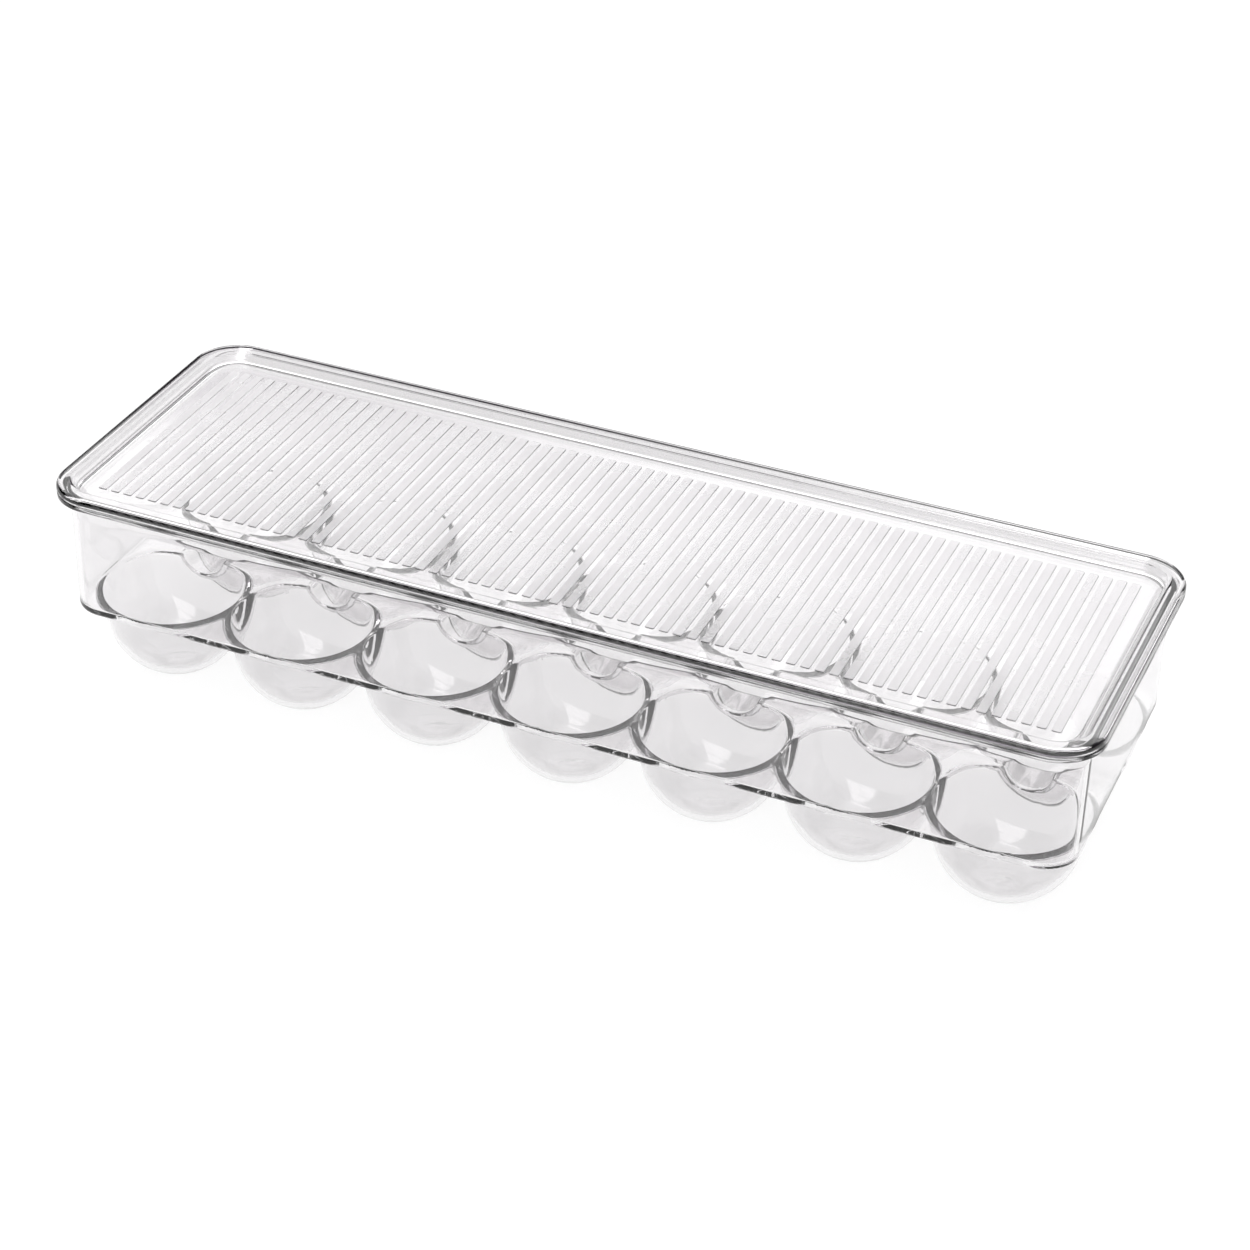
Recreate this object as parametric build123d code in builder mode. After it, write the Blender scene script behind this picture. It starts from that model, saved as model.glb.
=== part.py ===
from build123d import *
import os
from math import sin, cos, tan, radians, sqrt

os.makedirs("parts", exist_ok=True)

# Covered refrigerator egg holder in clear plastic: a one-piece tray with two
# rows of hanging egg cups, and a loose one-piece lid with a raised stacking
# rim. Frame: origin at the centre of the footprint, on the surface that the
# cup feet stand on; +X along the rows, front at -Y, +Z up. Millimetres.

# ---------------------------------------------------------------- overall
length = 362.0          # over the lid rim
width = 120.0
height = 78.0
half_l = length / 2
half_w = width / 2
rim_r = 16.3            # plan corner radius of the lid rim
deck_z = 31.5           # top face of the cup deck above the feet

# ---------------------------------------------------------------- tray
overhang = 4.3          # rim of lid and tray outside the straight wall
wall = 1.8              # wall and deck thickness
deck_edge_r = 1.5       # outer bottom edge of the deck
flange_t = 1.6          # edge of the tray's flared rim
edge_r = 0.45           # small edge radii at the parting of lid and tray

# ---------------------------------------------------------------- cups
pitch = 50.0            # along the rows
columns = 7
row_y = 28.65           # row centre line from the middle
mouth_r = 24.2          # cup mouth at the deck
bowl_r = 22.3           # inner bowl radius
bowl_drop = 8.4         # bowl centre below the deck
shell = 1.9             # cup wall
web_half = 9.3          # half the width of the web between the rows
facet_wall = 1.8        # wall of the flat facet beside the web
facet_corner_r = 5.0
floor_t = 2.2           # cup floor over the foot
mouth_edge_r = 0.5
notch_r = 8.0           # finger channel across the web
notch_rise = 1.7        # its axis above the deck
gate_r = 4.4            # recess under each foot, with the moulding gate in it
gate_depth = 0.4
nub_r = 1.2
nub_h = 0.3

# ---------------------------------------------------------------- lid
rim_t = 2.85            # rim plate, top face to parting face
rim_top_r = 1.6         # outer top edge
rim_flat = 4.6          # from the outline to the start of the inner edge
rim_in_r = 1.6          # inner top edge
slope = 55.0            # inner wall, degrees from flat
foot_r = 3.5            # concave radius from inner wall to panel
recess = 3.6            # panel top below the rim top
panel_t = 2.0
nest_gap = 0.5          # play between the lid's step and the tray's flare
bar_w = 3.1             # frosted bars on the panel
bar_h = 0.3
bar_pitch = 4.72
bar_count = 71
bar_front = -45.2
bar_back = 45.2

# ---------------------------------------------------------------- derived
part_z = height - rim_t              # parting plane between tray and lid
wall_s = overhang                    # inward offsets from the lid outline
wall_in_s = overhang + wall
seam_s = 11.0                        # where ring sections meet flat plates

# outward flare of the tray wall: one arc, tangent to the wall at its foot
flare_dx = overhang - edge_r
flare_dz = 6.75
flare_r = (flare_dx ** 2 + flare_dz ** 2) / (2 * flare_dx)
flange_z = part_z - flange_t         # underside of the flared rim
flare_z = flange_z - flare_dz        # where the flare starts
flare_c = wall_s - flare_r           # arc centre, in inward offset
flare_in = flare_r + wall            # inside face of the flare


def on_arc(radius, z):
    """Inward offset of a point of the flare arc of this radius at height z."""
    return flare_c + sqrt(radius ** 2 - (z - flare_z) ** 2)


def mid_arc(radius, z0, z1):
    """Point half way along the flare arc of this radius between two heights."""
    s0, s1 = on_arc(radius, z0), on_arc(radius, z1)
    mx = (s0 + s1) / 2 - flare_c
    mz = (z0 + z1) / 2 - flare_z
    k = radius / sqrt(mx * mx + mz * mz)
    return (flare_c + mx * k, flare_z + mz * k)


# section plane at the middle of the front side: local x inward, local y up
section = Plane(origin=(0, -half_w, 0), x_dir=(0, 1, 0), z_dir=(1, 0, 0))

# outline of the rim, walked once round from the middle of the front side
with BuildLine() as outline:
    a1 = Line((0, -half_w), (half_l - rim_r, -half_w))
    a2 = JernArc(a1 @ 1, a1 % 1, rim_r, 90)
    a3 = Line(a2 @ 1, (half_l, half_w - rim_r))
    a4 = JernArc(a3 @ 1, a3 % 1, rim_r, 90)
    a5 = Line(a4 @ 1, (-half_l + rim_r, half_w))
    a6 = JernArc(a5 @ 1, a5 % 1, rim_r, 90)
    a7 = Line(a6 @ 1, (-half_l, -half_w + rim_r))
    a8 = JernArc(a7 @ 1, a7 % 1, rim_r, 90)
    a9 = Line(a8 @ 1, (0, -half_w))

# ------------------------------------------------- one cup, outside and in
cup_bottom = -deck_z
outer_r = bowl_r + shell
foot_rad = sqrt(outer_r ** 2 - (deck_z - bowl_drop) ** 2)
floor_z = cup_bottom + floor_t
floor_rad = sqrt(bowl_r ** 2 - (-bowl_drop - floor_z) ** 2)

with BuildPart() as cup_outside:
    with BuildSketch(Plane.XZ):
        with BuildLine():
            b1 = Line((0, 0), (mouth_r + shell, 0))
            b2 = Line(b1 @ 1, (outer_r, -bowl_drop))
            am = (radians(0) + radians(90) - 0.3) / 2
            b3 = ThreePointArc(
                b2 @ 1,
                (outer_r * cos(am), -bowl_drop - outer_r * sin(am)),
                (foot_rad, cup_bottom),
            )
            b4 = Line(b3 @ 1, (0, cup_bottom))
            Line(b4 @ 1, (0, 0))
        make_face()
    revolve(axis=Axis.Z)
    # flat side towards the middle web
    with Locations((0, row_y - web_half + facet_wall, 0)):
        Box(80, 60, 90, align=(Align.CENTER, Align.MIN, Align.CENTER), mode=Mode.SUBTRACT)

with BuildPart() as cup_cavity:
    with BuildSketch(Plane.XZ):
        with BuildLine():
            c1 = Line((0, 1), (mouth_r, 1))
            c1b = Line(c1 @ 1, (mouth_r, 0))
            c2 = Line(c1b @ 1, (bowl_r, -bowl_drop))
            c3 = ThreePointArc(
                c2 @ 1,
                (bowl_r * cos(am), -bowl_drop - bowl_r * sin(am)),
                (floor_rad, floor_z),
            )
            c4 = Line(c3 @ 1, (0, floor_z))
            Line(c4 @ 1, (0, 1))
        make_face()
    revolve(axis=Axis.Z)
    with Locations((0, row_y - web_half, 0)):
        Box(80, 60, 90, align=(Align.CENTER, Align.MIN, Align.CENTER), mode=Mode.SUBTRACT)
    facet = cup_cavity.faces().sort_by(Axis.Y)[-1]
    fillet(facet.edges().filter_by_position(Axis.Z, -deck_z, 0.9), radius=facet_corner_r)

cups_front = [((i - (columns - 1) / 2) * pitch, -row_y) for i in range(columns)]
cups_back = [(x, row_y) for x, _ in cups_front]
cup_places = [Location((x, y, deck_z)) for x, y in cups_front]
cup_places += [Location((x, y, deck_z), (0, 0, 180)) for x, y in cups_back]

# ---------------------------------------------------------------- the tray
with BuildPart() as tray:
    # wall ring: deck edge, straight wall and flared rim in one section
    with BuildSketch(section):
        with BuildLine():
            d1 = Line((seam_s, deck_z - wall), (wall_s + deck_edge_r, deck_z - wall))
            d2 = ThreePointArc(
                d1 @ 1,
                (
                    wall_s + deck_edge_r * (1 - cos(radians(45))),
                    deck_z - wall + deck_edge_r * (1 - sin(radians(45))),
                ),
                (wall_s, deck_z - wall + deck_edge_r),
            )
            d3 = Line(d2 @ 1, (wall_s, flare_z))
            d4 = ThreePointArc(
                d3 @ 1,
                mid_arc(flare_r, flare_z, flange_z),
                (on_arc(flare_r, flange_z), flange_z),
            )
            d5 = Line(d4 @ 1, (edge_r * 0.4, flange_z))
            d5b = Line(d5 @ 1, (0, flange_z + edge_r * 0.4))
            d6 = Line(d5b @ 1, (0, part_z - edge_r))
            d7 = ThreePointArc(
                d6 @ 1,
                (edge_r * (1 - cos(radians(45))), part_z - edge_r * (1 - sin(radians(45)))),
                (edge_r, part_z),
            )
            d8 = Line(d7 @ 1, (on_arc(flare_in, part_z), part_z))
            d9 = ThreePointArc(
                d8 @ 1,
                mid_arc(flare_in, part_z, flare_z),
                (wall_in_s, flare_z),
            )
            d10 = Line(d9 @ 1, (wall_in_s, deck_z))
            d11 = Line(d10 @ 1, (seam_s, deck_z))
            Line(d11 @ 1, d1 @ 0)
        make_face()
    sweep(path=outline.wires()[0])
    # deck
    with BuildSketch(Plane.XY.offset(deck_z - wall)):
        RectangleRounded(
            2 * (half_l - seam_s), 2 * (half_w - seam_s), rim_r - seam_s
        )
    extrude(amount=wall)
    # cup shells
    with Locations(*cup_places):
        add(cup_outside.part)
    # finger channel shells under the web
    for x, _ in cups_front:
        with BuildSketch(Plane.XZ.offset(-(web_half - 0.5))):
            with Locations((x, deck_z + notch_rise)):
                Circle(notch_r + facet_wall)
            with Locations((x, deck_z + 20)):
                Rectangle(40, 40, mode=Mode.SUBTRACT)
        extrude(amount=2 * (web_half - 0.5))
    # cup cavities
    with Locations(*cup_places):
        add(cup_cavity.part, mode=Mode.SUBTRACT)
    # finger channels
    for x, _ in cups_front:
        with BuildSketch(Plane.XZ.offset(-(web_half + 3))):
            with Locations((x, deck_z + notch_rise)):
                Circle(notch_r)
        extrude(amount=2 * (web_half + 3), mode=Mode.SUBTRACT)
    # rounded edges of the cup mouths and channels
    rounded = (
        tray.edges()
        .filter_by_position(Axis.Z, deck_z - 0.001, deck_z + 0.001)
        .filter_by_position(Axis.X, -half_l + 16, half_l - 16)
        .filter_by_position(Axis.Y, -half_w + 7, half_w - 7)
    )
    fillet(rounded, radius=mouth_edge_r)
    # gate recess under each foot, with its nub
    with BuildSketch(Plane.XY):
        with Locations(*(cups_front + cups_back)):
            Circle(gate_r)
            Circle(nub_r, mode=Mode.SUBTRACT)
    extrude(amount=gate_depth, mode=Mode.SUBTRACT)
    with BuildSketch(Plane.XY):
        with Locations(*(cups_front + cups_back)):
            Circle(nub_r)
    extrude(amount=gate_depth - nub_h, mode=Mode.SUBTRACT)

# ---------------------------------------------------------------- the lid
ca, sa = cos(radians(slope)), sin(radians(slope))
in_end = (rim_flat + rim_in_r * sa, height - rim_in_r * (1 - ca))
foot_rise = foot_r * (1 - ca)
straight_dz = recess - rim_in_r * (1 - ca) - foot_rise
foot_top = (in_end[0] + straight_dz / tan(radians(slope)), in_end[1] - straight_dz)
foot_end = (foot_top[0] + foot_r * sa, height - recess)
ch, sh = cos(radians(slope / 2)), sin(radians(slope / 2))
nest_r = flare_in + nest_gap
panel_z = height - recess            # top face of the panel
under_z = panel_z - panel_t
step_low = on_arc(nest_r, under_z + 0.8)

with BuildPart() as lid:
    with BuildSketch(section):
        with BuildLine():
            e1 = Line((seam_s, under_z), (step_low + 0.8, under_z))
            e1b = Line(e1 @ 1, (step_low, under_z + 0.8))
            e2 = ThreePointArc(
                e1b @ 1,
                mid_arc(nest_r, under_z + 0.8, part_z),
                (on_arc(nest_r, part_z), part_z),
            )
            e3 = Line(e2 @ 1, (edge_r, part_z))
            e4 = ThreePointArc(
                e3 @ 1,
                (edge_r * (1 - cos(radians(45))), part_z + edge_r * (1 - sin(radians(45)))),
                (0, part_z + edge_r),
            )
            e5 = Line(e4 @ 1, (0, height - rim_top_r))
            e6 = ThreePointArc(
                e5 @ 1,
                (rim_top_r * (1 - cos(radians(45))), height - rim_top_r * (1 - sin(radians(45)))),
                (rim_top_r, height),
            )
            e7 = Line(e6 @ 1, (rim_flat, height))
            e8 = ThreePointArc(
                e7 @ 1,
                (rim_flat + rim_in_r * sh, height - rim_in_r * (1 - ch)),
                in_end,
            )
            e9 = Line(e8 @ 1, foot_top)
            e10 = ThreePointArc(
                e9 @ 1,
                (foot_end[0] - foot_r * sh, panel_z + foot_r * (1 - ch)),
                foot_end,
            )
            e11 = Line(e10 @ 1, (seam_s, panel_z))
            Line(e11 @ 1, e1 @ 0)
        make_face()
    sweep(path=outline.wires()[0])
    with BuildSketch(Plane.XY.offset(under_z)):
        RectangleRounded(
            2 * (half_l - seam_s), 2 * (half_w - seam_s), rim_r - seam_s
        )
    extrude(amount=panel_t)
    # frosted bars across the panel
    with BuildSketch(Plane.XY.offset(panel_z)):
        with Locations((0, (bar_front + bar_back) / 2)):
            with GridLocations(bar_pitch, 0, bar_count, 1):
                Rectangle(bar_w, bar_back - bar_front)
    extrude(amount=bar_h)

tray.part.label = "tray"
lid.part.label = "lid"

for piece in (tray.part, lid.part):
    bb = piece.bounding_box()
    print(piece.label, piece.is_valid, len(piece.solids()), round(piece.volume, 1),
          tuple(round(v, 2) for v in (*bb.min, *bb.max)))
print("foot radius", round(foot_rad, 2), "flare radius", round(flare_r, 2),
      "panel edge at", round(foot_end[0], 2), "step at", round(step_low, 2))

export_step(tray.part, "parts/tray.step")
export_step(lid.part, "parts/lid.step")
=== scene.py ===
import bpy, bmesh, math, time
import numpy as np
from mathutils import Vector, Matrix
from mathutils.geometry import delaunay_2d_cdt


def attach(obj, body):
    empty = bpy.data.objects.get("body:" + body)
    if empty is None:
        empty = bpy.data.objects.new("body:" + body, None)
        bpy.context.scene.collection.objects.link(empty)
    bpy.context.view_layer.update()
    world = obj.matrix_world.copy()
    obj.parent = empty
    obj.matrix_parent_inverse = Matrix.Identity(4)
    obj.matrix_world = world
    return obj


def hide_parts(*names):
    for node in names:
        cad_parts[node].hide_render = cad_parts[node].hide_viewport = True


T0 = time.time()
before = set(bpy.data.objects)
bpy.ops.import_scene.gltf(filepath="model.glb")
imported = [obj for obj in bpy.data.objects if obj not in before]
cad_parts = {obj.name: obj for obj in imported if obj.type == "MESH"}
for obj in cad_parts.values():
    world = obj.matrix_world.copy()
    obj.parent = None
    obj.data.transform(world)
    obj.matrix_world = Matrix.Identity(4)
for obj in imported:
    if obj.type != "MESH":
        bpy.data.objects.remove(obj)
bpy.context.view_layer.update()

# ------------------------------------------------------------------ sizes, mm
HL, HW, TOP = 181.0, 60.0, 78.0      # half length, half width, height
RIM_R = 16.3                         # plan corner radius of the rims
DECK = 31.5                          # top of the cup deck
OVER, WALL = 4.3, 1.8                # rim overhang, wall thickness
EDGE = 0.45
FLANGE = 1.6
PITCH, ROW = 50.0, 28.65
MOUTH, BOWL, BOWL_DROP = 24.2, 22.3, 8.4
MOUTH_OUT, BOWL_OUT = 26.6, 24.2
FACET, FACET_OUT = 19.35, 21.15      # flat side of a cup, from its axis
NOTCH_R, NOTCH_Z, NOTCH_OUT = 8.0, 1.7, 9.8
FLOOR = 2.2
RIM_T = 2.85
PART_Z = TOP - RIM_T
PANEL_Z = TOP - 3.6
UNDER_Z = PANEL_Z - 2.0
BAR_H = 0.28
BAR_W, BAR_PITCH, BARS, BAR_Y = 3.1, 4.72, 71, 45.2


# --------------------------------------------------- rounded unions and cuts
def cut(a, b, r):
    """Intersection of two distance fields, its edge rounded by r."""
    return np.minimum(np.maximum(a, b), -r) + np.hypot(np.maximum(a + r, 0), np.maximum(b + r, 0))


def join(a, b, r):
    """Union of two distance fields, its inner corner rounded by r."""
    return np.maximum(np.minimum(a, b), r) - np.hypot(np.maximum(r - a, 0), np.maximum(r - b, 0))


def slant(bowl, mouth):
    """Angle at which a cone through the mouth circle meets the bowl smoothly."""
    lo, hi = 0.0, 0.6
    for _ in range(40):
        m = (lo + hi) / 2
        rho = bowl * math.cos(m) + math.tan(m) * (BOWL_DROP + bowl * math.sin(m))
        lo, hi = (m, hi) if rho < mouth else (lo, m)
    return m


D_IN, D_OUT = slant(BOWL, MOUTH), slant(BOWL_OUT, MOUTH_OUT)


def bowl(rho, w, radius, d):
    """A sphere that runs up into a tangent cone."""
    wc = w + BOWL_DROP
    ball = np.hypot(rho, wc) - radius
    cone = rho * math.cos(d) - wc * math.sin(d) - radius
    return np.where(wc * math.cos(d) + rho * math.sin(d) < 0, ball, cone)


def plate(x, y, half_x, half_y, r):
    """A rounded rectangle in plan."""
    qx, qy = np.abs(x) - half_x + r, np.abs(y) - half_y + r
    return np.minimum(np.maximum(qx, qy), 0) + np.hypot(np.maximum(qx, 0), np.maximum(qy, 0)) - r


def hollow(u, v, w, rho):
    """The open space of a cup with the channel that leads into it."""
    inner = bowl(rho, w, BOWL, D_IN)
    inner = cut(inner, v - FACET, 5.0)
    inner = cut(inner, -(w + DECK - FLOOR), 1.2)
    chan = np.maximum(np.hypot(u, w - NOTCH_Z) - NOTCH_R, FACET - 5.0 - v)
    return -cut(-inner, -chan, 0.6)


def mouth_band(p, reach):
    """Which points lie close to the edge of a cup mouth or channel."""
    w = p[:, 2] - DECK
    ax = np.abs(p[:, 0])
    u, v = ax - np.clip(np.round(ax / PITCH), 0, 3) * PITCH, ROW - np.abs(p[:, 1])
    return (np.abs(hollow(u, v, w, np.hypot(u, v))) < reach) & (w > -reach) & (w < 1)


def tray_field(p):
    """Signed distance to the tray below its flare, negative in the plastic."""
    x, y, z = p[:, 0], p[:, 1], p[:, 2]
    w = z - DECK
    ax, ay = np.abs(x), np.abs(y)
    k = np.clip(np.round(ax / PITCH), 0, 3)
    u = ax - k * PITCH
    v = ROW - ay
    rho = np.hypot(u, v)
    # the neighbouring cup along the row, on the side where there is one
    side = np.where(u >= 0, 1.0, -1.0)
    has = (k + side) <= 3
    rho2 = np.hypot(u - side * PITCH, v)
    out1 = bowl(rho, w, BOWL_OUT, D_OUT)
    out2 = np.where(has, bowl(rho2, w, BOWL_OUT, D_OUT), 50.0)
    shell = join(out1, out2, 2.2)
    shell = cut(shell, v - FACET_OUT, 5.5)
    shell = cut(shell, -(w + DECK), 0.6)
    shell = np.maximum(shell, w + 1.0)
    pipe = np.maximum(np.hypot(u, w - NOTCH_Z) - NOTCH_OUT, np.maximum(w + 1.0, FACET_OUT - 3.0 - v))
    shell = join(shell, pipe, 0.8)
    out_w = plate(x, y, HL - OVER, HW - OVER, RIM_R - OVER)
    slab = cut(-(w + WALL), out_w, 1.5)
    well = cut(out_w + WALL, -w, 0.9)
    slab = np.maximum(slab, -well)
    solid = join(slab, shell, 0.8)
    solid = cut(solid, -np.maximum(hollow(u, v, w, rho), w - 0.9), 0.55)
    # shallow recess with the gate mark under each foot
    dish = 0.16 * np.clip((5.8 - rho) / 1.8, 0, 1) - 0.12 * np.clip((2.6 - rho) / 1.6, 0, 1)
    return np.maximum(solid, np.where(w < -DECK + 1.5, dish - z, -50.0))


def gradient(f, p, e=0.01):
    g = np.empty_like(p)
    for a in range(3):
        q = p.copy(); q[:, a] += e
        s = p.copy(); s[:, a] -= e
        g[:, a] = (f(q) - f(s)) / (2 * e)
    return g


def settle(f, p, rounds=3, hold=None):
    """Moves points onto the surface f = 0."""
    for _ in range(rounds):
        g = gradient(f, p)
        step = (f(p) / np.maximum((g * g).sum(1), 0.2))[:, None] * g
        n = np.linalg.norm(step, axis=1, keepdims=True)
        step *= np.minimum(1, 0.6 / np.maximum(n, 1e-9))
        p = p - step
        if hold is not None:
            hold(p)
    return p


def nets(f, xs, ys, zs):
    """Surface nets of f = 0 over a grid: vertices and quads, outside normals."""
    shape = (len(xs), len(ys), len(zs))
    val = np.empty(shape)
    for i, xv in enumerate(xs):
        gy, gz = np.meshgrid(ys, zs, indexing="ij")
        val[i] = f(np.column_stack((np.full(gy.size, xv), gy.ravel(), gz.ravel()))).reshape(gy.shape)
    inside = val < 0
    cells = tuple(n - 1 for n in shape)
    total = np.zeros(cells + (3,))
    count = np.zeros(cells)
    coords = (xs, ys, zs)
    quads = []
    crossing = []
    for a in range(3):
        lo = [slice(None)] * 3; hi = [slice(None)] * 3
        lo[a] = slice(0, -1); hi[a] = slice(1, None)
        v0, v1 = val[tuple(lo)], val[tuple(hi)]
        cr = inside[tuple(lo)] != inside[tuple(hi)]
        idx = np.argwhere(cr)
        t = (v0[cr] / (v0[cr] - v1[cr]))
        pos = np.empty((len(idx), 3))
        for b in range(3):
            pos[:, b] = coords[b][idx[:, b]]
        pos[:, a] += t * (coords[a][1] - coords[a][0])
        b, c = [i for i in range(3) if i != a]
        corner = []
        for db in (0, -1):
            for dc in (0, -1):
                ci = idx.copy()
                ci[:, b] += db; ci[:, c] += dc
                ok = (ci[:, b] >= 0) & (ci[:, b] < cells[b]) & (ci[:, c] >= 0) & (ci[:, c] < cells[c])
                lin = np.ravel_multi_index(tuple(np.clip(ci, 0, np.array(cells) - 1).T), cells)
                np.add.at(total.reshape(-1, 3), lin[ok], pos[ok])
                np.add.at(count.reshape(-1), lin[ok], 1)
                corner.append((lin, ok))
        crossing.append((a, corner, inside[tuple(lo)][cr]))
    used = np.flatnonzero(count.reshape(-1))
    number = np.full(count.size, -1)
    number[used] = np.arange(len(used))
    verts = total.reshape(-1, 3)[used] / count.reshape(-1)[used, None]
    for a, corner, first_in in crossing:
        (c00, k00), (c01, k01), (c10, k10), (c11, k11) = corner
        ok = k00 & k01 & k10 & k11
        q = np.column_stack((number[c00], number[c01], number[c11], number[c10]))[ok]
        flip = first_in[ok] if a != 1 else ~first_in[ok]
        q[flip] = q[flip][:, ::-1]
        quads.append(q)
    return verts, np.vstack(quads)


STEP = 0.6
xs = -STEP / 2 + STEP * np.arange(int(math.ceil((178.0 + STEP / 2) / STEP)) + 1)
ys = -STEP / 2 + STEP * np.arange(int(math.ceil((57.0 + STEP / 2) / STEP)) + 1)
CUT_Z = DECK + 5.0
nz = int(math.ceil((CUT_Z + 1.3) / STEP))
zs = CUT_Z - STEP * np.arange(nz, -1, -1) + STEP / 2
verts, quads = nets(tray_field, xs, ys, zs)
print("nets", len(verts), len(quads), round(time.time() - T0, 1))


def simplify(verts, quads, target):
    """Collapses a dense mesh to about the target number of triangles."""
    me = bpy.data.meshes.new("dense")
    me.from_pydata(verts.tolist(), [], quads.tolist())
    ob = bpy.data.objects.new("dense", me)
    bpy.context.scene.collection.objects.link(ob)
    tri = ob.modifiers.new("tri", "TRIANGULATE")
    dec = ob.modifiers.new("dec", "DECIMATE")
    dec.ratio = min(1.0, target / (2.0 * len(quads)))
    keep = ob.vertex_groups.new(name="keep")
    keep.add(np.flatnonzero(mouth_band(verts, 1.0)).tolist(), 1.0, "REPLACE")
    dec.vertex_group = "keep"; dec.invert_vertex_group = True
    dg = bpy.context.evaluated_depsgraph_get()
    ev = ob.evaluated_get(dg).to_mesh()
    v = np.empty(len(ev.vertices) * 3); ev.vertices.foreach_get("co", v)
    ev.calc_loop_triangles()
    f = np.empty(len(ev.loop_triangles) * 3, np.int32); ev.loop_triangles.foreach_get("vertices", f)
    ob.evaluated_get(dg).to_mesh_clear()
    bpy.data.objects.remove(ob); bpy.data.meshes.remove(me)
    return v.reshape(-1, 3), f.reshape(-1, 3)


def refine(verts, tris, choose):
    """Splits in two the edges that choose(a, b) picks, and triangulates again."""
    bm = bmesh.new()
    for v in verts:
        bm.verts.new(v)
    bm.verts.ensure_lookup_table()
    for t in tris:
        try:
            bm.faces.new([bm.verts[int(i)] for i in t])
        except ValueError:
            pass
    edges = [e for e in bm.edges if choose(e)]
    bmesh.ops.subdivide_edges(bm, edges=edges, cuts=1)
    bmesh.ops.triangulate(bm, faces=bm.faces[:])
    bm.verts.index_update()
    v = np.array([x.co[:] for x in bm.verts])
    f = np.array([[x.index for x in g.verts] for g in bm.faces])
    bm.free()
    return v, f


class Mesh:
    """Collects faces with a normal at each corner, in millimetres."""

    def __init__(self):
        self.v, self.groups, self.count = [], [], 0

    def add(self, verts, faces, normals, mat=0):
        """normals: one per vertex, or one per face corner as (faces, corners, 3)."""
        verts, faces = np.asarray(verts, float), np.asarray(faces)
        normals = np.asarray(normals, float)
        if normals.ndim == 2:
            normals = normals[faces]
        self.v.append(verts)
        self.groups.append((faces + self.count, normals, mat))
        self.count += len(verts)

    def grid(self, pts, nrm, mat=0, loop=False):
        """pts (m, k, 3): quads between neighbouring rows; rows may close."""
        m, k = pts.shape[:2]
        idx = np.arange(m * k).reshape(m, k)
        nxt = np.roll(idx, -1, 0) if loop else idx[1:]
        cur = idx if loop else idx[:-1]
        quads = np.stack((cur[:, :-1], nxt[:, :-1], nxt[:, 1:], cur[:, 1:]), -1).reshape(-1, 4)
        self.add(pts.reshape(-1, 3), quads, nrm.reshape(-1, 3), mat)

    def build(self, name, materials, mirror=()):
        v = np.vstack(self.v)
        groups = list(self.groups)
        for ax in mirror:
            w = v.copy(); w[:, ax] *= -1
            flip = np.ones(3); flip[ax] = -1
            groups += [((f + len(v))[:, ::-1], (n * flip)[:, ::-1], m) for f, n, m in groups]
            v = np.vstack((v, w))
        _, first, inv = np.unique(np.round(v * 2000).astype(np.int64), axis=0, return_index=True, return_inverse=True)
        inv = inv.reshape(-1)
        v = v[first]
        faces, normals, mats = [], [], []
        for f, n, m in groups:
            h = inv[f]
            bad = (h == np.roll(h, 1, 1)).any(1)
            for row, q in zip(h[bad], n[bad]):
                keep = row != np.roll(row, 1)
                row, q = row[keep], q[keep]
                if len(row) < 3 or len(set(row.tolist())) != len(row):
                    continue
                if np.dot(np.cross(v[row[1]] - v[row[0]], v[row[2]] - v[row[0]]), q.sum(0)) < 0:
                    row, q = row[::-1], q[::-1]
                faces.append(row.tolist()); normals.append(q); mats.append(m)
            h, n = h[~bad], n[~bad]
            if not len(h):
                continue
            if h.shape[1] == 3:
                c = np.cross(v[h[:, 1]] - v[h[:, 0]], v[h[:, 2]] - v[h[:, 0]])
            else:
                s = h.shape[1] // 2
                c = np.cross(v[h[:, s]] - v[h[:, 0]], v[h[:, s + s // 2]] - v[h[:, s // 2]])
            neg = (c * n.sum(1)).sum(1) < 0
            h, n = h.copy(), n.copy()
            h[neg] = h[neg][:, ::-1]; n[neg] = n[neg][:, ::-1]
            faces += h.tolist(); normals.append(n.reshape(-1, 3)); mats += [m] * len(h)
        me = bpy.data.meshes.new(name)
        me.from_pydata((v * 0.001).tolist(), [], faces)
        me.polygons.foreach_set("material_index", mats)
        me.polygons.foreach_set("use_smooth", [True] * len(faces))
        for x in materials:
            me.materials.append(x)
        q = np.vstack(normals)
        q /= np.maximum(np.linalg.norm(q, axis=1, keepdims=True), 1e-9)
        me.normals_split_custom_set(q.tolist())
        me.update()
        ob = bpy.data.objects.new(name, me)
        bpy.context.scene.collection.objects.link(ob)
        print(name, len(v), "vertices", sum(len(x) - 2 for x in faces), "triangles", round(time.time() - T0, 1))
        return ob


def line(s0, z0, s1, z1, me, mz, k=1):
    """A straight run of a rim section, with its outward normal."""
    t = np.linspace(0, 1, k + 1)
    return np.column_stack((s0 + (s1 - s0) * t, z0 + (z1 - z0) * t)), np.tile((me, mz), (k + 1, 1))


def arc(cs, cz, r, a0, a1, sign, k):
    """An arc of a rim section from angle a0 to a1, in degrees, measured from
    the inward direction towards up; sign 1 is convex, -1 concave."""
    a = np.radians(np.linspace(a0, a1, k + 1))
    p = np.column_stack((cs + r * np.cos(a), cz + r * np.sin(a)))
    return p, sign * np.column_stack((-np.cos(a), np.sin(a)))


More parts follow.
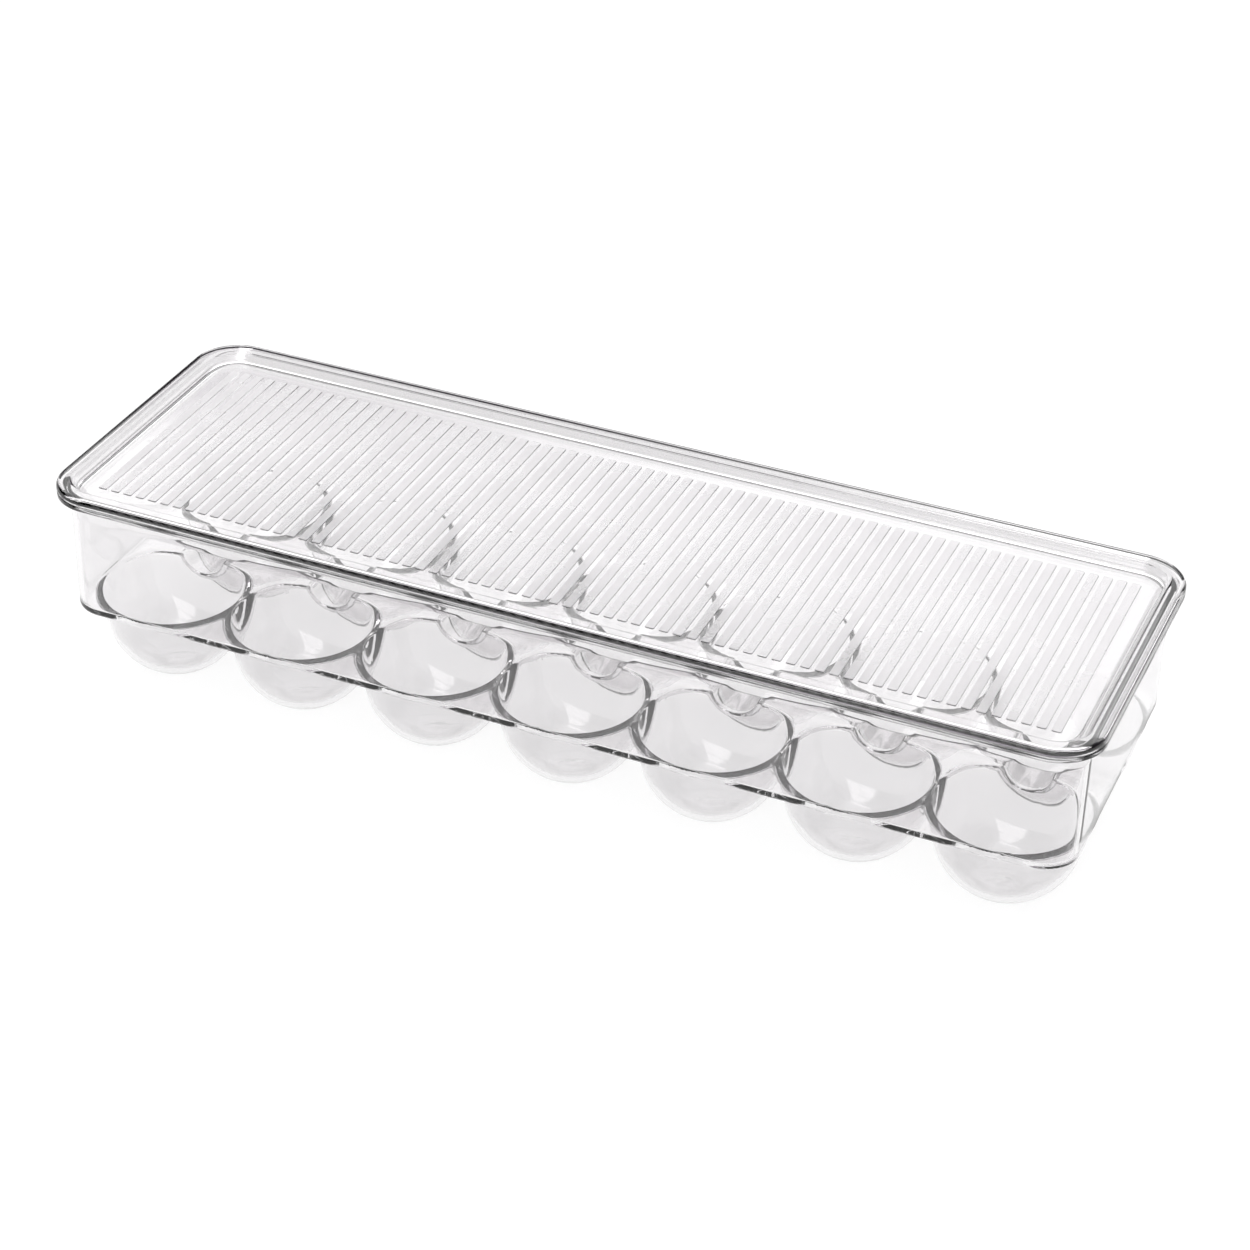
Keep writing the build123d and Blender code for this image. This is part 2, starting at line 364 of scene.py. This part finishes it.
def swept(mesh, stations, dirs, runs, loop, mat=0):
    """stations (m, 2) are points of the outline's corner skeleton; dirs (m, 2)
    point outward; each run of the section is carried round them."""
    for pts, nrm in runs:
        P = np.empty((len(stations), len(pts), 3)); N = np.empty_like(P)
        off = (RIM_R - pts[:, 0])[None, :, None]
        P[..., :2] = stations[:, None, :] + off * dirs[:, None, :]
        P[..., 2] = pts[:, 1][None, :]
        N[..., :2] = nrm[:, 0][None, :, None] * dirs[:, None, :]
        N[..., 2] = nrm[:, 1][None, :]
        mesh.grid(P, N, mat, loop)


def zipper(mesh, a, b, ta, tb, normal, mat=0):
    """Flat strip between two open chains."""
    pts = np.vstack((a, b)); i = j = 0; tris = []
    while i < len(a) - 1 or j < len(b) - 1:
        if j == len(b) - 1 or (i < len(a) - 1 and ta[i + 1] <= tb[j + 1]):
            tris.append((i, i + 1, len(a) + j)); i += 1
        else:
            tris.append((i, len(a) + j + 1, len(a) + j)); j += 1
    mesh.add(pts, np.array(tris), np.tile(normal, (len(pts), 1)), mat)


# ----------------------------------------------------------------- the tray
flare_dx, flare_dz = OVER - EDGE, 6.75
flare_r = (flare_dx ** 2 + flare_dz ** 2) / (2 * flare_dx)
flange_z = PART_Z - FLANGE
flare_z = flange_z - flare_dz
flare_c = OVER - flare_r
flare_in = flare_r + WALL
nest_r = flare_in + 0.5


def arc_at(r, z):
    return flare_c + math.sqrt(r * r - (z - flare_z) ** 2)


def arc_deg(r, z):
    return math.degrees(math.asin((z - flare_z) / r))


CX, CY = HL - RIM_R, HW - RIM_R


def hold(p):
    p[np.abs(p[:, 0]) < 1e-6, 0] = 0
    p[held_x, 0] = 0; p[held_y, 1] = 0; p[held_z, 2] = CUT_Z


target = 40500
verts, tris = simplify(verts, quads, target)
print("simplified", len(verts), len(tris), round(time.time() - T0, 1))


def border(verts, tris):
    e = np.sort(np.vstack((tris[:, :2], tris[:, 1:], tris[:, ::2])), axis=1)
    u, c = np.unique(e, axis=0, return_counts=True)
    return u[c == 1]


b = border(verts, tris)
on_b = np.zeros(len(verts), bool); on_b[b.ravel()] = True
verts[on_b & (np.abs(verts[:, 0]) < 0.6), 0] = 0
verts[on_b & (np.abs(verts[:, 1]) < 0.6), 1] = 0
verts[on_b & (verts[:, 2] > CUT_Z - 0.6), 2] = CUT_Z


def wants(e):
    a, c = e.verts[0].co, e.verts[1].co
    m = (a + c) / 2
    L = (a - c).length
    if m.z > CUT_Z - 1e-4 and a.z == c.z and m.x > CX and m.y > CY:
        return L > 1.2
    k = min(3, round(m.x / PITCH))
    rho = math.hypot(m.x - k * PITCH, m.y - ROW)
    return m.z < 1.5 and rho < 6.0 and L > 0.5


for _ in range(2):
    verts, tris = refine(verts, tris, wants)
b = border(verts, tris)
on_b = np.zeros(len(verts), bool); on_b[b.ravel()] = True
held_x = on_b & (np.abs(verts[:, 0]) < 1e-4)
held_y = on_b & (np.abs(verts[:, 1]) < 1e-4)
held_z = on_b & (verts[:, 2] > CUT_Z - 1e-3)
verts = settle(tray_field, verts, 4, hold)


def unit(a):
    return a / np.maximum(np.linalg.norm(a, axis=-1, keepdims=True), 1e-9)


# corner normals: the surface's own, read just inside the face where a rounded
# edge is finer than the faces beside it
nv = unit(gradient(tray_field, verts, 0.02))
mid = verts[tris].mean(1)
cn = np.empty(tris.shape + (3,))
for c in range(3):
    p = verts[tris[:, c]]
    d = mid - p
    L = np.linalg.norm(d, axis=1, keepdims=True)
    q = p + d / np.maximum(L, 1e-9) * np.minimum(0.3, 0.3 * L)
    g = unit(gradient(tray_field, q, 0.02))
    own = nv[tris[:, c]]
    far = (g * own).sum(1) < math.cos(math.radians(12))
    own = own.copy(); own[far] = g[far]
    cn[:, c] = own
tray = Mesh()
tray.add(verts, tris, cn)

# ordered chains of the cut edge, outer and inner
eb = b[held_z[b].all(1)]
link = {}
for i, j in eb.tolist():
    link.setdefault(i, []).append(j); link.setdefault(j, []).append(i)
chains = []
ends = [i for i in link if len(link[i]) == 1 and abs(verts[i, 0]) < 1e-4]
for s in ends:
    c = [s]; prev = None
    while True:
        nx = [q for q in link[c[-1]] if q != prev]
        if not nx:
            break
        prev = c[-1]; c.append(nx[0])
    chains.append(c)
chains.sort(key=lambda c: -verts[c[0], 1])
print("chains", [len(c) for c in chains])


def stations(c):
    p = verts[c, :2]
    s = np.minimum(p, (CX, CY))
    d = p - s
    d[:, 1] = np.where(p[:, 0] < CX, 1.0, d[:, 1]); d[:, 0] = np.where(p[:, 0] < CX, 0.0, d[:, 0])
    side = (p[:, 1] < CY) & (p[:, 0] >= CX)
    d[side] = (1, 0)
    d = unit(d)
    s = np.where((p[:, 0] < CX)[:, None], np.column_stack((p[:, 0], np.full(len(p), CY))), s)
    s = np.where(side[:, None], np.column_stack((np.full(len(p), CX), p[:, 1])), s)
    t = np.where(p[:, 0] < CX, p[:, 0], CX + np.arctan2(d[:, 0], d[:, 1]) * 20)
    t = np.where(side, CX + math.pi * 10 + (CY - p[:, 1]), t)
    return s, d, t


so, do, to = stations(chains[0])
si, di, ti = stations(chains[1])
K = 10
outer_runs = [
    line(OVER, CUT_Z, OVER, flare_z, 1, 0),
    (lambda a: (a[0], -a[1]))(arc(flare_c, flare_z, flare_r, 0, arc_deg(flare_r, flange_z), 1, K)),
    line(EDGE, flange_z, 0.18, flange_z, 0, -1),
    arc(0.18, flange_z + 0.18, 0.18, 270, 180, 1, 3),
    line(0, flange_z + 0.18, 0, PART_Z - EDGE, 1, 0),
    arc(EDGE, PART_Z - EDGE, EDGE, 180, 90, 1, 4),
]
top_in = arc_at(flare_in, PART_Z)
inner_runs = [
    arc(flare_c, flare_z, flare_in, arc_deg(flare_in, PART_Z), 0, 1, K),
    line(OVER + WALL, flare_z, OVER + WALL, CUT_Z, -1, 0),
]
swept(tray, so, do, outer_runs, False)
swept(tray, si, di, inner_runs, False)
A = np.column_stack((so + (RIM_R - EDGE) * do, np.full(len(so), PART_Z)))
B = np.column_stack((si + (RIM_R - top_in) * di, np.full(len(si), PART_Z)))
zipper(tray, A, B, to, ti, (0, 0, 1))

# ------------------------------------------------------------------ the lid
lid = Mesh()
NC = 28
st, dr = [], []
for qx, qy, a0 in ((1, -1, -90), (1, 1, 0), (-1, 1, 90), (-1, -1, 180)):
    for a in np.radians(np.linspace(a0, a0 + 90, NC + 1)):
        st.append((qx * CX, qy * CY)); dr.append((math.cos(a), math.sin(a)))
st, dr = np.array(st), np.array(dr)
step_low = arc_at(nest_r, UNDER_Z + 0.8)
RT, RI, RF, SL = 1.6, 1.6, 3.5, 55.0
FLAT = 4.6
in_s = FLAT + RI * math.sin(math.radians(SL)); in_z = TOP - RI * (1 - math.cos(math.radians(SL)))
foot_rise = RF * (1 - math.cos(math.radians(SL)))
dz = (in_z - PANEL_Z) - foot_rise
foot_s = in_s + dz / math.tan(math.radians(SL)); foot_z = PANEL_Z + foot_rise
foot_end = foot_s + RF * math.sin(math.radians(SL))
sl = math.radians(SL)
nest = arc(flare_c, flare_z, nest_r, arc_deg(nest_r, UNDER_Z + 0.8), arc_deg(nest_r, PART_Z), 1, 3)
concave = arc(foot_end, PANEL_Z + RF, RF, 270 - SL, 270, -1, 6)
lid_runs = [
    arc(step_low + 0.8, UNDER_Z + 0.8, 0.8, 270, 180, 1, 4),
    (nest[0], -nest[1]),
    line(arc_at(nest_r, PART_Z), PART_Z, EDGE, PART_Z, 0, -1),
    arc(EDGE, PART_Z + EDGE, EDGE, 270, 180, 1, 4),
    line(0, PART_Z + EDGE, 0, TOP - RT, 1, 0),
    arc(RT, TOP - RT, RT, 180, 90, 1, 8),
    line(RT, TOP, FLAT, TOP, 0, 1),
    arc(FLAT, TOP - RI, RI, 90, 90 - SL, 1, 6),
    line(in_s, in_z, foot_s, foot_z, -math.sin(sl), math.cos(sl)),
    concave,
]
swept(lid, st, dr, lid_runs, True)


def ring(s, z):
    return np.column_stack((st + (RIM_R - s) * dr, np.full(len(st), z)))


def flat(mesh, loops, z, nz, skip=None, mat=0):
    pts, edges, faces = [], [], []
    for L in loops:
        k = len(pts); n = len(L)
        pts += [Vector((p[0], p[1])) for p in L]
        edges += [(k + i, k + (i + 1) % n) for i in range(n)]
        faces.append([k + i for i in range(n)])
    out = delaunay_2d_cdt(pts, edges, faces[:1], 1, 1e-5)
    P = np.array([(p[0], p[1], z) for p in out[0]])
    T = np.array([f for f in out[2]])
    if skip is not None:
        T = T[~skip(P[T].mean(1))]
    mesh.add(P, T, np.tile((0, 0, nz), (len(P), 1)), mat)


flat(lid, [ring(step_low + 0.8, UNDER_Z)], UNDER_Z, -1)
bar_x = (np.arange(BARS) - (BARS - 1) / 2) * BAR_PITCH


def bar_loop(x, inset):
    hx, hy, r = BAR_W / 2 - inset, BAR_Y - inset, max(0.45 - inset, 0.1)
    out, nr = [], []
    for qx, qy, a0 in ((1, -1, -90), (1, 1, 0), (-1, 1, 90), (-1, -1, 180)):
        for a in np.radians(np.linspace(a0, a0 + 90, 4)):
            out.append((x + qx * (hx - r) + r * math.cos(a), qy * (hy - r) + r * math.sin(a)))
            nr.append((math.cos(a), math.sin(a)))
    return np.array(out), np.array(nr)


BR = 0.12
bars = [bar_loop(x, 0)[0] for x in bar_x]


def on_bar(m):
    k = np.round(m[:, 0] / BAR_PITCH)
    return (np.abs(k) <= (BARS - 1) / 2) & (plate(m[:, 0] - k * BAR_PITCH, m[:, 1], BAR_W / 2, BAR_Y, 0.45) < 0)


flat(lid, [ring(foot_end, PANEL_Z)] + bars, PANEL_Z, 1, on_bar)
for x in bar_x:
    rows, nrm = [], []
    for inset, z, tilt in [(0, PANEL_Z, 0), (0, PANEL_Z + BAR_H - BR, 0)] + [
        (BR * (1 - math.cos(a)), PANEL_Z + BAR_H - BR * (1 - math.sin(a)), a) for a in np.radians((22.5, 45, 67.5, 90))
    ]:
        p, n = bar_loop(x, inset)
        rows.append(np.column_stack((p, np.full(len(p), z))))
        nrm.append(np.column_stack((n * math.cos(tilt), np.full(len(n), math.sin(tilt)))))
    P = np.stack(rows, 1); N = np.stack(nrm, 1)
    lid.grid(P, N, 1, True)
    lid.add(rows[-1], [list(range(len(rows[-1])))], np.tile((0, 0, 1), (len(rows[-1]), 1)), 1)


# ---------------------------------------------------------------- materials
def new_material(name):
    m = bpy.data.materials.new(name)
    m.use_nodes = True
    nt = m.node_tree
    return m, nt, nt.nodes["Principled BSDF"]


def clear_plastic(name, tint, grain):
    """Clear styrene: faint flow ripples of the moulding, polished faces, and a painted shade that darkens the cups
    below the deck.
    """
    m, nt, p = new_material(name)
    N, L = nt.nodes.new, nt.links.new
    p.inputs["Transmission Weight"].default_value = 1.0
    p.inputs["IOR"].default_value = 1.57
    tc = N("ShaderNodeTexCoord")
    flow = N("ShaderNodeTexNoise"); flow.inputs["Scale"].default_value = 34.0
    flow.inputs["Detail"].default_value = 3.0; flow.inputs["Distortion"].default_value = 0.8
    L(tc.outputs["Object"], flow.inputs["Vector"])
    ramp = N("ShaderNodeValToRGB")
    ramp.color_ramp.elements[0].position = 0.3; ramp.color_ramp.elements[0].color = (*[c - 0.012 for c in tint], 1)
    ramp.color_ramp.elements[1].position = 0.7; ramp.color_ramp.elements[1].color = (*tint, 1)
    L(flow.outputs["Fac"], ramp.inputs["Fac"])
    # painted shade: the colour is scaled by height, a shade darker on the cups below the deck and a touch lighter
    # above it
    sep = N("ShaderNodeSeparateXYZ"); L(tc.outputs["Object"], sep.inputs[0])
    # painted shade: scale factor 0.965 below the deck rising to 1.012 above it
    painted_shade_below_deck = N("ShaderNodeMapRange")
    painted_shade_below_deck.inputs["From Min"].default_value = 0.026; painted_shade_below_deck.inputs["From Max"].default_value = 0.033
    painted_shade_below_deck.inputs["To Min"].default_value = 0.965; painted_shade_below_deck.inputs["To Max"].default_value = 1.012
    L(sep.outputs["Z"], painted_shade_below_deck.inputs["Value"])
    shade = N("ShaderNodeVectorMath"); shade.operation = "SCALE"
    L(ramp.outputs["Color"], shade.inputs[0]); L(painted_shade_below_deck.outputs["Result"], shade.inputs["Scale"])
    L(shade.outputs[0], p.inputs["Base Color"])
    haze = N("ShaderNodeTexNoise"); haze.inputs["Scale"].default_value = 120.0; haze.inputs["Detail"].default_value = 4.0
    L(tc.outputs["Object"], haze.inputs["Vector"])
    mr = N("ShaderNodeMapRange")
    mr.inputs["From Min"].default_value = 0.45; mr.inputs["From Max"].default_value = 0.85
    mr.inputs["To Min"].default_value = grain[0]; mr.inputs["To Max"].default_value = grain[1]
    L(haze.outputs["Fac"], mr.inputs["Value"]); L(mr.outputs["Result"], p.inputs["Roughness"])
    bump = N("ShaderNodeBump"); bump.inputs["Strength"].default_value = 0.03; bump.inputs["Distance"].default_value = 0.0006
    L(flow.outputs["Fac"], bump.inputs["Height"]); L(bump.outputs["Normal"], p.inputs["Normal"])
    return m


def frosted_plastic(name, tint):
    """Fine spark texture on the raised bars."""
    m, nt, p = new_material(name)
    N, L = nt.nodes.new, nt.links.new
    p.inputs["Transmission Weight"].default_value = 1.0
    p.inputs["IOR"].default_value = 1.57
    tc = N("ShaderNodeTexCoord")
    fine = N("ShaderNodeTexNoise"); fine.inputs["Scale"].default_value = 1500.0; fine.inputs["Detail"].default_value = 2.0
    L(tc.outputs["Object"], fine.inputs["Vector"])
    broad = N("ShaderNodeTexNoise"); broad.inputs["Scale"].default_value = 60.0; broad.inputs["Detail"].default_value = 2.0
    L(tc.outputs["Object"], broad.inputs["Vector"])
    mr = N("ShaderNodeMapRange")
    mr.inputs["From Min"].default_value = 0.3; mr.inputs["From Max"].default_value = 0.7
    mr.inputs["To Min"].default_value = 0.25; mr.inputs["To Max"].default_value = 0.31
    L(broad.outputs["Fac"], mr.inputs["Value"]); L(mr.outputs["Result"], p.inputs["Roughness"])
    ramp = N("ShaderNodeValToRGB")
    ramp.color_ramp.elements[0].position = 0.3; ramp.color_ramp.elements[0].color = (*[c - 0.02 for c in tint], 1)
    ramp.color_ramp.elements[1].position = 0.7; ramp.color_ramp.elements[1].color = (*tint, 1)
    L(fine.outputs["Fac"], ramp.inputs["Fac"]); L(ramp.outputs["Color"], p.inputs["Base Color"])
    bump = N("ShaderNodeBump"); bump.inputs["Strength"].default_value = 0.10; bump.inputs["Distance"].default_value = 0.0001
    L(fine.outputs["Fac"], bump.inputs["Height"]); L(bump.outputs["Normal"], p.inputs["Normal"])
    return m


clear = clear_plastic("clear_plastic", (0.908, 0.900, 0.906), (0.0, 0.004))
frost = frosted_plastic("frosted_bars", (1.0, 0.99, 1.0))
tray_ob = tray.build("egg_tray", [clear], mirror=(0, 1))
lid_ob = lid.build("stacking_lid", [clear, frost])
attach(tray_ob, "tray"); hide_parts("tray")
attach(lid_ob, "lid"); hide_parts("lid")
for n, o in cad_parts.items():
    o.data.materials.clear(); o.data.materials.append(clear)

# ------------------------------------------------------------ floor and light
bpy.ops.mesh.primitive_circle_add(vertices=128, radius=7, fill_type="NGON", location=(0, 0, 0))
floor = bpy.context.object; floor.name = "floor"; floor.location.z = -0.0001
mf = bpy.data.materials.new("floor"); mf.use_nodes = True
nt = mf.node_tree
p = nt.nodes["Principled BSDF"]
p.inputs["Base Color"].default_value = (0.2, 0.2, 0.2, 1); p.inputs["Roughness"].default_value = 0.9
p.inputs["Specular IOR Level"].default_value = 0.0
p.inputs["Emission Color"].default_value = (1, 1, 1, 1); p.inputs["Emission Strength"].default_value = 0.9
floor.data.materials.append(mf)

w = bpy.data.worlds.new("studio"); bpy.context.scene.world = w; w.use_nodes = True
nt = w.node_tree; N, L = nt.nodes.new, nt.links.new
bg = nt.nodes["Background"]
tc = N("ShaderNodeTexCoord"); sep = N("ShaderNodeSeparateXYZ")
rp = N("ShaderNodeValToRGB")
L(tc.outputs["Generated"], sep.inputs[0]); L(sep.outputs["Z"], rp.inputs[0])
cr = rp.color_ramp
cr.elements[0].position = 0.15; cr.elements[0].color = (1, 1, 1, 1)
cr.elements[1].position = 0.24; cr.elements[1].color = (0.27, 0.235, 0.28, 1)
e = cr.elements.new(0.72); e.color = (0.27, 0.235, 0.28, 1)
e = cr.elements.new(0.82); e.color = (1.0, 1.0, 1.0, 1)
sky = rp.outputs[0]


def softbox(sky, az, el, wide, high, level, soft):
    """A large rectangular card in the sky, light or black, centred at azimuth az and elevation el."""
    a, t = math.radians(az), math.radians(el)
    d = Vector((math.sin(a) * math.cos(t), -math.cos(a) * math.cos(t), math.sin(t)))
    u = Vector((math.cos(a), math.sin(a), 0)); v = d.cross(u)

    def along(axis_):
        n = N("ShaderNodeVectorMath"); n.operation = "DOT_PRODUCT"
        L(tc.outputs["Generated"], n.inputs[0]); n.inputs[1].default_value = axis_
        return n.outputs["Value"]

    def product(p, q):
        n = N("ShaderNodeMath"); n.operation = "MULTIPLY"
        L(p, n.inputs[0]); L(q, n.inputs[1])
        return n.outputs[0]
    ahead = N("ShaderNodeMath"); ahead.operation = "GREATER_THAN"
    L(along(d), ahead.inputs[0]); ahead.inputs[1].default_value = 0
    mask = ahead.outputs[0]
    for axis_, half in ((u, wide), (v, high)):
        ab = N("ShaderNodeMath"); ab.operation = "ABSOLUTE"; L(along(axis_), ab.inputs[0])
        mr = N("ShaderNodeMapRange"); mr.interpolation_type = "SMOOTHSTEP"
        mr.inputs["From Min"].default_value = half + soft; mr.inputs["From Max"].default_value = half - soft
        L(ab.outputs[0], mr.inputs["Value"])
        mask = product(mask, mr.outputs["Result"])
    mix = N("ShaderNodeMix"); mix.data_type = "RGBA"
    col = [s for s in mix.inputs if s.type == "RGBA"]
    L(mask, mix.inputs[0]); L(sky, col[0]); col[1].default_value = (level, level, level, 1)
    return [s for s in mix.outputs if s.type == "RGBA"][0]


sky = softbox(sky, 0, 32, 0.29, 0.55, 3.2, 0.03)
sky = softbox(sky, -40, 30, 0.36, 0.50, 0.02, 0.03)
sky = softbox(sky, 202, 45, 0.7, 0.26, 1.9, 0.012)
sky = softbox(sky, 213, 17, 0.14, 0.12, 0.02, 0.02)
sky = softbox(sky, 242, 26, 0.26, 0.20, 1.5, 0.04)
sky = softbox(sky, 55, 14, 0.50, 0.16, 1.0, 0.05)
sky = softbox(sky, 278, 23, 0.50, 0.20, 0.02, 0.03)
sky = softbox(sky, 82, 46, 0.35, 0.25, 0.02, 0.03)
sky = softbox(sky, 145, 22, 0.30, 0.22, 0.02, 0.03)
L(sky, bg.inputs[0])

# -------------------------------------------------------------------- camera
az, el, roll, dist, focal = math.radians(22.696), math.radians(33.306), math.radians(1.392), 1.02455, 3024.46
aim = Vector((0.000343, 0.013612, 0.0315))
back = Vector((math.sin(az) * math.cos(el), -math.cos(az) * math.cos(el), math.sin(el)))
right = Vector((math.cos(az), math.sin(az), 0)); up = back.cross(right)
cx = math.cos(roll) * right + math.sin(roll) * up
cy = -math.sin(roll) * right + math.cos(roll) * up
cd = bpy.data.cameras.new("camera"); cam = bpy.data.objects.new("camera", cd)
bpy.context.scene.collection.objects.link(cam)
m = Matrix((cx, cy, back)).transposed().to_4x4(); m.translation = aim + back * dist
cam.matrix_world = m
cd.sensor_width = 36; cd.lens = focal * 36 / 1250; cd.clip_start = 0.05; cd.clip_end = 60
sc = bpy.context.scene
sc.camera = cam
sc.view_settings.view_transform = "Standard"
sc.cycles.max_bounces = 24
sc.cycles.transmission_bounces = 24
sc.cycles.glossy_bounces = 5
sc.cycles.diffuse_bounces = 2
